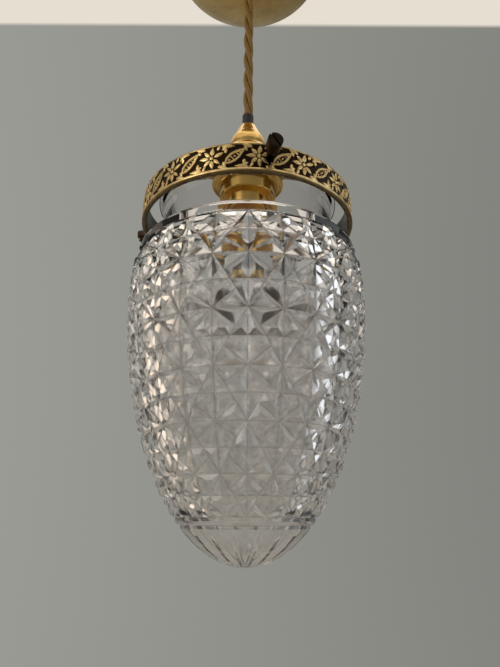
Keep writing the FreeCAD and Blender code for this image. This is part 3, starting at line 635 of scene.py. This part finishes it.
def sideLines(corners):
    # each side of a convex region as (point, inward direction)
    middle = sum((Vector(c) for c in corners), Vector((0, 0))) / len(corners)
    lines = []
    for a, b in zip(corners, corners[1:] + corners[:1]):
        along = (Vector(b) - Vector(a)).normalized()
        inward = Vector((-along.y, along.x))
        if inward.dot(middle - Vector(a)) < 0:
            inward = -inward
        lines.append((Vector(a), inward))
    return lines


def bisectFlat(bm, point, normal):
    bmesh.ops.bisect_plane(bm, geom=bm.verts[:] + bm.edges[:] + bm.faces[:], dist=1e-7,
                           plane_co=(*point, 0), plane_no=(*normal, 0))


def cutRegion(corners, groove):
    # one flat region between grooves, divided where the groove walls meet; z is the share of full depth
    region = bmesh.new()
    region.faces.new([region.verts.new((*c, 0)) for c in corners])
    lines = sideLines(corners)
    for i, (pointA, inwardA) in enumerate(lines):
        bisectFlat(region, pointA + inwardA * groove, inwardA)
        for pointB, inwardB in lines[i + 1:]:
            normal = inwardA - inwardB
            offset = inwardA.dot(pointA) - inwardB.dot(pointB)
            bisectFlat(region, normal * (offset / normal.length_squared), normal)
    for vert in region.verts:
        near = min(inward.dot(vert.co.xy - point) for point, inward in lines)
        vert.co.z = -groove * max(0.0, 1 - near / groove)
    return region


def starQuarter(width, height, groove):
    # quarter cell: a many-rayed star at the origin, a plain star at the other top corner
    meet = (width * 2 / 3, -height * 2 / 3)
    foot = (width / 2, -height)
    regions = [
        [(width, 0), foot, (width, -height)],
        [(0, 0), meet, (width, 0)],
        [(0, 0), (0, -height), foot, meet]]
    quarter = bmesh.new()
    scrap = bpy.data.meshes.new("scrap")
    for corners in regions:
        region = cutRegion(corners, groove)
        region.to_mesh(scrap)
        region.free()
        quarter.from_mesh(scrap)
    bpy.data.meshes.remove(scrap)
    bmesh.ops.remove_doubles(quarter, verts=quarter.verts, dist=width * 1e-4)
    bmesh.ops.dissolve_limit(quarter, angle_limit=math.radians(1), verts=quarter.verts, edges=quarter.edges)
    for step in range(1, shade["stepsPerColumn"]):
        bisectFlat(quarter, Vector((width * step / shade["stepsPerColumn"], 0)), Vector((1, 0)))
    return quarter


def addHalfRow(bm, starZ, middleZ, firstColumn):
    # half a row of stars all round, between the star line and the line midway to the next row
    width = columnWidth(0.5 * (starZ + middleZ))
    height = abs(starZ - middleZ) / abs(outlineNormal(0.5 * (starZ + middleZ)).x)
    groove = shade["grooveShare"] * width
    cutDepth = bm.verts.layers.float["cutDepth"]
    quarter = starQuarter(width, height, groove)
    scrap = bpy.data.meshes.new("scrap")
    quarter.to_mesh(scrap)
    quarter.free()
    for column in range(firstColumn, shade["columns"], 2):
        for side in (-1, 1):
            before = len(bm.verts)
            bm.from_mesh(scrap)
            bm.verts.ensure_lookup_table()
            for vert in bm.verts[before:]:
                vert[cutDepth] = -vert.co.z / groove
                z = starZ + (middleZ - starZ) * (-vert.co.y / height)
                azimuth = (column + side * vert.co.x / width) * columnAngle
                depth = -vert.co.z / groove * shade["cutShare"] * columnWidth(z)
                vert.co = cutPoint(azimuth, z, depth)
    bpy.data.meshes.remove(scrap)


def bowed(start, finish):
    # points between two (radius, z) places, along a shallow outward bow
    points = []
    for step in range(1, shade["shoulderSteps"]):
        share = step / shade["shoulderSteps"]
        bow = shade["shoulderBow"] * math.sin(math.pi * share)
        points.append(tuple(start.lerp(finish, share) + Vector((bow, bow))))
    return points


def addStars(bm):
    for number, starZ in enumerate(starRows):
        firstColumn = (number + 1) % 2
        if number + 1 < len(starRows):
            addHalfRow(bm, starZ, 0.5 * (starZ + starRows[number + 1]), firstColumn)
        if number:
            addHalfRow(bm, starZ, 0.5 * (starZ + starRows[number - 1]), firstColumn)


def sunkPoint(z, depth):
    # (radius, z) of the skin at a height, sunk by a depth
    place = cutPoint(0, z, depth)
    return (-place.y, place.z)


def neckProfile():
    # from the first row of stars over the shoulder, up the neck, round the lip and down inside the neck
    first = starRows[0]
    shoulder = Vector((outline(shoulderZ), shoulderZ))
    points = [sunkPoint(first, shade["cutShare"] * columnWidth(first))]
    points.append(sunkPoint(first + shade["plainRim"], shade["plainSunk"]))
    points.append(tuple(shoulder))
    points += bowed(shoulder, Vector((shade["neckRadius"], neckLow)))
    points.append((shade["neckRadius"] + shade["coveOut"], neckLow + shade["coveUp"][0]))
    points.append((shade["neckRadius"], neckLow + shade["coveUp"][1]))
    lipLow = shadeTop - shade["lipHeight"]
    points.append((shade["neckRadius"], lipLow - shade["underLip"]))
    for share in (0.0, 0.25, 0.5, 0.75, 1.0):
        angle = math.pi * (share - 0.5)
        middle = 0.5 * (shadeTop + lipLow)
        half = 0.5 * (shadeTop - lipLow) - shade["inset"]
        radius = shade["lipRadius"] - shade["lipRound"] * (1 - math.cos(angle))
        points.append((radius, middle + half * math.sin(angle)))
    for out, down in shade["innerEdge"]:
        points.append((shade["neckInside"] + out, shadeTop - down))
    return points


def hollowProfile():
    # the hollow below the neck: its shoulder, then even steps of angle round two half ellipses
    start = Vector((shade["neckInside"], neckLow - shade["wallShare"] * shade["wall"]))
    shoulder = Vector((outline(insideShoulder, shade["wall"]), insideShoulder))
    points = [(start.x, start.y + shade["innerNeckEnd"])] + bowed(start, shoulder)
    highAngle = math.asin((insideShoulder - bellyZ) / (shade["upperRise"] - shade["wall"]))
    for step in range(shade["hollowSteps"]):
        angle = highAngle - (highAngle + math.pi / 2) * step / shade["hollowSteps"]
        rise = shade["upperRise"] if angle > 0 else lowerDrop
        points.append(((shade["radius"] - shade["wall"]) * math.cos(angle),
                       bellyZ + (rise - shade["wall"]) * math.sin(angle)))
    points.append((0, insideTip))
    return points


def tipProfile():
    # from the last row of stars over the bead's groove to the tip
    last = starRows[-1]
    grooveLow = beadLow - shade["beadGrooveLow"]
    points = [sunkPoint(last, shade["cutShare"] * columnWidth(last))]
    points.append(sunkPoint(last - shade["plainStart"], shade["plainSunk"]))
    points.append(sunkPoint(0.5 * (last + beadLow), 0.0))
    points.append(sunkPoint(beadLow + shade["beadGrooveHigh"], shade["plainSunk"]))
    points.append(sunkPoint(beadLow, shade["beadGroove"]))
    points.append(sunkPoint(grooveLow, shade["plainSunk"]))
    startAngle = math.asin((bellyZ - grooveLow) / lowerDrop)
    for step in range(1, shade["domeSteps"]):
        angle = startAngle + (math.pi / 2 - startAngle) * step / shade["domeSteps"]
        points.append((shade["radius"] * math.cos(angle), bellyZ - lowerDrop * math.sin(angle)))
    points.append((0, bellyZ - lowerDrop))
    return points


def sinkFlutes(bm):
    # narrow grooves that run down the dome under the bead and die out at the tip
    spacing = 360 / shade["flutes"]
    fluteTop = beadLow - shade["fluteStart"]
    fadeDown, fadeIn = shade["fluteFade"]
    for vert in bm.verts:
        radius = vert.co.xy.length
        onAxis = radius < 0.001
        if vert.co.z > fluteTop or onAxis or radius < outline(vert.co.z) - shade["wall"] / 2:
            continue
        count = math.degrees(math.atan2(vert.co.x, -vert.co.y)) / spacing - 0.5
        if abs(count - round(count)) * spacing < shade["fluteHalfAngle"]:
            fade = min(1.0, (fluteTop - vert.co.z) / fadeDown) * min(1.0, radius / fadeIn)
            normal = outlineNormal(vert.co.z)
            inward = Vector((-vert.co.x / radius, -vert.co.y / radius, 0)) * normal.x
            vert.co += (inward - Vector((0, 0, normal.y))) * shade["fluteDepth"] * fade


def markHaze(bm):
    # the hollow's wall grows hazier downwards from its shoulder
    hollow = bm.verts.layers.float["hollow"]
    for vert in bm.verts:
        low = insideShoulder - vert.co.z
        within = outline(min(vert.co.z, insideShoulder)) - 0.5 * shade["wall"] - vert.co.xy.length
        if low > 0 and within > 0 and vert.co.z > insideTip - 0.0005:
            vert[hollow] = min(1.0, shade["hazeStart"] + low / shade["hazeRise"])


def makeShade():
    bm = bmesh.new()
    bm.verts.layers.float.new("cutDepth")
    bm.verts.layers.float.new("hollow")
    addStars(bm)
    spinProfile(bm, neckProfile() + hollowProfile(), ringSteps)
    spinProfile(bm, tipProfile(), ringSteps)
    sinkFlutes(bm)
    bmesh.ops.remove_doubles(bm, verts=bm.verts, dist=2e-6)
    bmesh.ops.triangulate(bm, faces=[f for f in bm.faces if len(f.verts) > 4])
    turn = Matrix.Rotation(math.radians(shade["turn"]), 3, "Z")
    bmesh.ops.rotate(bm, verts=bm.verts, cent=(0, 0, 0), matrix=turn)
    bmesh.ops.recalc_face_normals(bm, faces=bm.faces)
    markHaze(bm)
    print("shade faces", len(bm.faces), "open edges", sum(1 for e in bm.edges if not e.is_manifold))
    piece = meshObject("cutGlassShade", bm, cutGlassMaterial(), smoothAngle=11)
    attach(piece, "lantern")
    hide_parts(*glassNodes)
    return piece


makeShade()
print("stage: glass shade")


ringLow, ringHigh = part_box("gallery_ring")
ring = {
    "bore": 0.0572,
    "band": 0.0590,
    "ground": 0.05875,
    "beadRadius": 0.0015,
    "topBeadRadius": 0.0009,
    "repeats": 16,
    "flowerAzimuth": 5.7,
    "segments": 160,
    "beadSteps": 20,
    "topBeadSteps": 10,
    "raise": 0.00072,
    "root": 0.0001,
    "flowerCore": 0.0007,
    "bossRadius": 0.0013,
    "toothDip": 0.62,
    "beadHeight": 0.0012,
    # painted shade on the lower bead: the direction it is lit from, its darkest value and how fast it
    # darkens away from that direction
    "beadLitFacing": (0.88, 0.47),
    "beadShadeFloor": 0.37,
    "beadShadeFall": 1.8,
    "wearShadeEnds": (0.3, 0.72),
    "gold": (0.86, 0.64, 0.30),
    "dullGold": (0.42, 0.26, 0.10),
    "groundBrown": (0.022, 0.012, 0.006),
}
relief = {
    # form: height as a share of the raise, and how much of its width its top keeps
    "petal": (1.0, 0.72),
    "boss": (1.15, 0.6),
    "leaf": (0.92, 0.76),
    "seed": (0.85, 0.55),
    "bar": (0.9, 0.8),
    "pod": (1.0, 0.9),
}
rubbed = {
    # wearAndShade attribute of each place: 1 is bare gold, 0 dark brown
    "crest": 1.0,
    "edge": 0.9,
    "podStep": 0.95,
    "podHollow": 0.25,
    "topBead": 0.5,
    "ground": 0.1,
}
pod = {
    "slant": 40,
    "length": 0.0146,
    "width": 0.0056,
    "rim": 0.17,
    "rimSlope": 0.05,
    "hollow": 0.3,
    "seeds": (0.27, 0.5, 0.73),
    "seedLength": 0.14,
    "seedWidth": 0.26,
    "bars": (0.385, 0.615),
    "barReach": 0.36,
    "barHalfWidth": 0.018,
}


def arcPoints(centre, radius, start, finish, steps):
    angles = [math.radians(start + (finish - start) * i / steps) for i in range(steps + 1)]
    return [(centre[0] + radius * math.cos(a), centre[1] + radius * math.sin(a)) for a in angles]


def petalOutline(place, angle, length, width, teeth=0):
    # pointed outline from its root at place; teeth roughen the two edges like a leaf's
    turn = Matrix.Rotation(math.radians(angle), 2)
    steps = 5 + 2 * teeth
    sides = []
    for side in (1, -1):
        for step in range(1, steps):
            share = step / steps
            half = 0.5 * width * math.sin(math.pi * share ** 0.8)
            if teeth and step % 2:
                half *= ring["toothDip"]
            sides.append((side, share, half))
    upper = [Vector((length * share, half)) for side, share, half in sides if side > 0]
    lower = [Vector((length * share, -half)) for side, share, half in sides if side < 0]
    border = [Vector((0, 0))] + lower + [Vector((length, 0))] + upper[::-1]
    return [Vector(place) + turn @ point for point in border]


def raisedTop(bm, border, form):
    # walls from the ring's ground up to a smaller top face, which is returned
    share, kept = relief[form]
    face = bm.faces.new([bm.verts.new((point.x, point.y, -ring["root"])) for point in border])
    top = bmesh.ops.extrude_discrete_faces(bm, faces=[face])["faces"][0]
    middle = top.calc_center_median()
    for vert in top.verts:
        vert.co = middle.lerp(vert.co, kept)
        vert.co.z = ring["raise"] * share
    return top


def addRelief(bm, wearAndShade, border, form):
    # a raised form whose top rises from three quarters of its height to a crest
    top = raisedTop(bm, border, form)
    for vert in top.verts:
        vert.co.z *= 0.75
        vert[wearAndShade] = rubbed["edge"]
    crest = bmesh.ops.poke(bm, faces=[top])["verts"][0]
    crest.co.z = ring["raise"] * relief[form][0]
    crest[wearAndShade] = rubbed["crest"]


def addPod(bm, wearAndShade, place):
    # slanted seed pod: a raised rim round a hollow with three seeds between two bars
    angle, length, width = pod["slant"], pod["length"], pod["width"]
    top = raisedTop(bm, petalOutline(place, angle, length, width), "pod")
    for vert in top.verts:
        vert[wearAndShade] = rubbed["crest"]
    bmesh.ops.inset_region(bm, faces=[top], thickness=width * pod["rim"])
    for vert in top.verts:
        vert[wearAndShade] = rubbed["podStep"]
    bmesh.ops.inset_region(bm, faces=[top], thickness=width * pod["rimSlope"])
    for vert in top.verts:
        vert.co.z = ring["raise"] * pod["hollow"]
        vert[wearAndShade] = rubbed["podHollow"]
    along = Matrix.Rotation(math.radians(angle), 2) @ Vector((1, 0))
    seedLength = length * pod["seedLength"]
    for share in pod["seeds"]:
        seed = Vector(place) + along * (length * share - seedLength / 2)
        addRelief(bm, wearAndShade, petalOutline(seed, angle, seedLength, width * pod["seedWidth"]), "seed")
    across = Vector((-along.y, along.x)) * width * pod["barReach"]
    thin = along * length * pod["barHalfWidth"]
    for share in pod["bars"]:
        bar = Vector(place) + along * length * share
        corners = [bar - across - thin, bar - across + thin, bar + across + thin, bar + across - thin]
        addRelief(bm, wearAndShade, corners, "bar")


def reliefRepeat():
    # one repeat of the embossing laid flat: x along the band, y up it, z outwards
    flat = bmesh.new()
    wearAndShade = flat.verts.layers.float.new("wearAndShade")
    mm = 0.001
    width = 2 * math.pi * ring["ground"] / ring["repeats"]
    flower = (
        # angle, length and width of each petal, in mm
        (84, 5.9, 2.7), (133, 5.4, 2.3), (178, 6.3, 2.5), (226, 5.6, 2.4),
        (273, 5.9, 2.7), (318, 5.6, 2.3), (22, 6.4, 2.4))
    for angle, length, petalWidth in flower:
        root = Vector((math.cos(math.radians(angle)), math.sin(math.radians(angle)))) * ring["flowerCore"]
        addRelief(flat, wearAndShade, petalOutline(root, angle, length * mm, petalWidth * mm), "petal")
    corners = [math.pi / 4 * i for i in range(8)]
    boss = [Vector((math.cos(corner), math.sin(corner))) * ring["bossRadius"] for corner in corners]
    addRelief(flat, wearAndShade, boss, "boss")
    slant = math.radians(pod["slant"])
    along = Vector((math.cos(slant), math.sin(slant)))
    addPod(flat, wearAndShade, Vector((width / 2, 0)) - 0.5 * pod["length"] * along)
    leaves = (
        # place, angle, length and width of each leaf, in mm
        ((4.2, 6.0), -3, 8.0, 3.0), ((4.8, 3.4), 36, 5.0, 2.4), ((6.8, 1.4), 80, 4.2, 2.2),
        ((2.6, -5.0), -16, 6.6, 3.1), ((5.6, -2.6), -64, 3.6, 2.2), ((2.6, 3.7), 56, 3.9, 2.0),
        ((-4.2, -6.0), 177, 8.0, 3.0), ((-4.8, -3.4), 216, 5.0, 2.4), ((-6.8, -1.4), 260, 4.2, 2.2),
        ((-2.6, 5.0), 164, 6.6, 3.1), ((-5.6, 2.6), 116, 3.6, 2.2), ((-2.6, -3.7), 236, 3.9, 2.0))
    for place, angle, length, leafWidth in leaves:
        shape = petalOutline(Vector(place) * mm, angle, length * mm, leafWidth * mm, teeth=3)
        addRelief(flat, wearAndShade, shape, "leaf")
    bmesh.ops.recalc_face_normals(flat, faces=flat.faces)
    return flat


def ringMaterial():
    # rubbed gold on the high places, dark brown in the ground, and painted shade on the lower bead where it
    # faces in and down
    material = bpy.data.materials.new("embossedBrass")
    material.use_nodes = True
    nodes, links = material.node_tree.nodes, material.node_tree.links
    shader = nodes["Principled BSDF"]
    shader.inputs["Metallic"].default_value = 1.0
    wearAndShadeNode = nodes.new("ShaderNodeAttribute")
    wearAndShadeNode.attribute_name = "wearAndShade"
    surface = addTarnish(nodes, ring["gold"], ring["dullGold"], 260, 0.7, 0.26, 0.5)
    edge = nodes.new("ShaderNodeMapRange")
    edge.inputs["From Min"].default_value = ring["wearShadeEnds"][0]
    edge.inputs["From Max"].default_value = ring["wearShadeEnds"][1]
    mix = nodes.new("ShaderNodeMix")
    mix.data_type = "RGBA"
    mix.inputs["A"].default_value = (*ring["groundBrown"], 1)
    links.new(wearAndShadeNode.outputs["Fac"], edge.inputs["Value"])
    links.new(edge.outputs["Result"], mix.inputs["Factor"])
    links.new(surface.outputs["Colour"], mix.inputs["B"])
    links.new(mix.outputs["Result"], shader.inputs["Base Color"])
    links.new(surface.outputs["Roughness"], shader.inputs["Roughness"])
    addBump(material, surface.outputs["Height"], 0.2, 0.00015)
    return material


def makeRing():
    bm = bmesh.new()
    wearAndShade = bm.verts.layers.float.new("wearAndShade")
    middle = 0.5 * (ring["bore"] + ring["band"])
    low = (middle, ringLow[2] + ring["beadRadius"])
    high = (middle, ringHigh[2] - ring["topBeadRadius"])
    reach = ring["ground"] - middle
    beadEnd = math.degrees(math.acos(reach / ring["beadRadius"]))
    topStart = -math.degrees(math.acos(reach / ring["topBeadRadius"]))
    innerStart = math.degrees(math.acos((ring["bore"] - middle) / ring["beadRadius"]))
    profile = arcPoints(low, ring["beadRadius"], innerStart - 360, beadEnd, ring["beadSteps"])
    profile += arcPoints(high, ring["topBeadRadius"], topStart, 180, ring["topBeadSteps"])
    spinProfile(bm, profile, ring["segments"], loop=True)
    # the lower bead is painted gold where it faces out and up towards the light and darker where it faces
    # in and down: painted shade
    beadLitFacing = Vector(ring["beadLitFacing"])
    for vert in bm.verts:
        radius = vert.co.xy.length
        if vert.co.z < low[1] + ring["beadHeight"]:
            litFacing = Vector((radius - low[0], vert.co.z - low[1])).normalized().dot(beadLitFacing)
            vert[wearAndShade] = max(ring["beadShadeFloor"], 1 - ring["beadShadeFall"] * (1 - litFacing))
        else:
            outside = radius > ring["ground"] + 0.00003
            vert[wearAndShade] = rubbed["topBead"] if outside else rubbed["ground"]
    bmesh.ops.recalc_face_normals(bm, faces=bm.faces)
    flat = reliefRepeat()
    scrap = bpy.data.meshes.new("scrap")
    flat.to_mesh(scrap)
    flat.free()
    centreZ = 0.5 * (low[1] + ring["beadRadius"] + high[1] - ring["topBeadRadius"])
    for i in range(ring["repeats"]):
        before = len(bm.verts)
        bm.from_mesh(scrap)
        bm.verts.ensure_lookup_table()
        start = ring["flowerAzimuth"] + i * 360 / ring["repeats"]
        for vert in bm.verts[before:]:
            azimuth = start + math.degrees(vert.co.x / ring["ground"])
            height = centreZ + vert.co.y
            vert.co = outward(azimuth) * (ring["ground"] + vert.co.z) + Vector((0, 0, height))
    bpy.data.meshes.remove(scrap)
    piece = meshObject("embossedRing", bm, ringMaterial(), smoothAngle=32)
    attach(piece, "lantern")
    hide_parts("gallery_ring")


makeRing()
print("stage: gallery ring")


brassPolished = metalMaterial("holderBrass", (0.80, 0.53, 0.17), (0.50, 0.29, 0.07), 70, 0.55, 0.13, 0.36)
brassAntique = metalMaterial("galleryBrass", (0.62, 0.44, 0.19), (0.10, 0.06, 0.03), 90, 0.8, 0.25, 0.55)
brassCeiling = metalMaterial("ceilingBrass", (0.70, 0.50, 0.22), (0.34, 0.21, 0.08), 45, 0.6, 0.2, 0.45)
brassContact = metalMaterial("contactBrass", (0.84, 0.65, 0.33), (0.55, 0.38, 0.15), 120, 0.4, 0.2, 0.4)
bronzeDark = metalMaterial("darkBronze", (0.045, 0.028, 0.016), (0.012, 0.009, 0.007), 400, 0.8, 0.32, 0.55)
steelZinc = metalMaterial("zincSteel", (0.66, 0.66, 0.65), (0.42, 0.42, 0.42), 110, 0.5, 0.28, 0.5)
blackMatt = coatMaterial("blackRubber", (0.007, 0.007, 0.007), (0.003, 0.003, 0.003), 300, 0.45, 0.65)
ceramic = coatMaterial("ceramic", (0.82, 0.79, 0.72), (0.70, 0.66, 0.58), 90, 0.35, 0.55)
coreBrown = coatMaterial("coreBrown", (0.20, 0.075, 0.028), (0.14, 0.05, 0.02), 240, 0.35, 0.5)
coreBlue = coatMaterial("coreBlue", (0.03, 0.14, 0.42), (0.02, 0.10, 0.30), 240, 0.35, 0.5)
coreGreen = coatMaterial("coreGreen", (0.16, 0.36, 0.07), (0.55, 0.50, 0.05), 180, 0.35, 0.5)
bulbGlass = glassMaterial("bulbGlass", (0.99, 0.99, 0.99), 0.0, 1.45, 45)
braidEnds = coatMaterial("braidEnds", (0.90, 0.62, 0.16), (0.30, 0.17, 0.03), 900, 0.5, 0.7)

finishes = {
    "holder_cap": brassPolished, "holder_barrel": brassPolished, "shade_ring": brassPolished,
    "gallery_spider": brassAntique, "gallery_rivets": bronzeDark,
    "gallery_screw_1": bronzeDark, "gallery_screw_2": bronzeDark, "gallery_screw_3": bronzeDark,
    "rose_cover": brassCeiling, "cover_screws": brassCeiling, "rose_cord_grip": brassCeiling,
    "bulb_cap": brassContact, "holder_terminals": brassContact, "holder_terminal_screws": brassContact,
    "contact_plungers": brassContact, "ceiling_bracket": steelZinc, "rose_grip_nut": steelZinc,
    "terminal_screws": steelZinc, "plunger_springs": steelZinc, "bulb_contacts": steelZinc,
    "bulb_lead_wires": steelZinc, "bulb_filament": steelZinc,
    "rose_flex_end": braidEnds, "flex_end": braidEnds,
    "rose_grip_insert": blackMatt, "flex_sleeve": blackMatt, "bulb_insulator": blackMatt,
    "holder_core": ceramic, "terminal_block": ceramic,
    "rose_core_live": coreBrown, "rose_core_neutral": coreBlue, "rose_core_earth": coreGreen,
    "holder_wire_live": coreBrown, "holder_wire_neutral": coreBlue, "holder_wire_earth": coreGreen,
    "bulb_envelope": bulbGlass, "bulb_stem": bulbGlass,
}
for node, material in finishes.items():
    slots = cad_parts[node].data.materials
    slots.clear()
    slots.append(material)
print("stage: finishes")
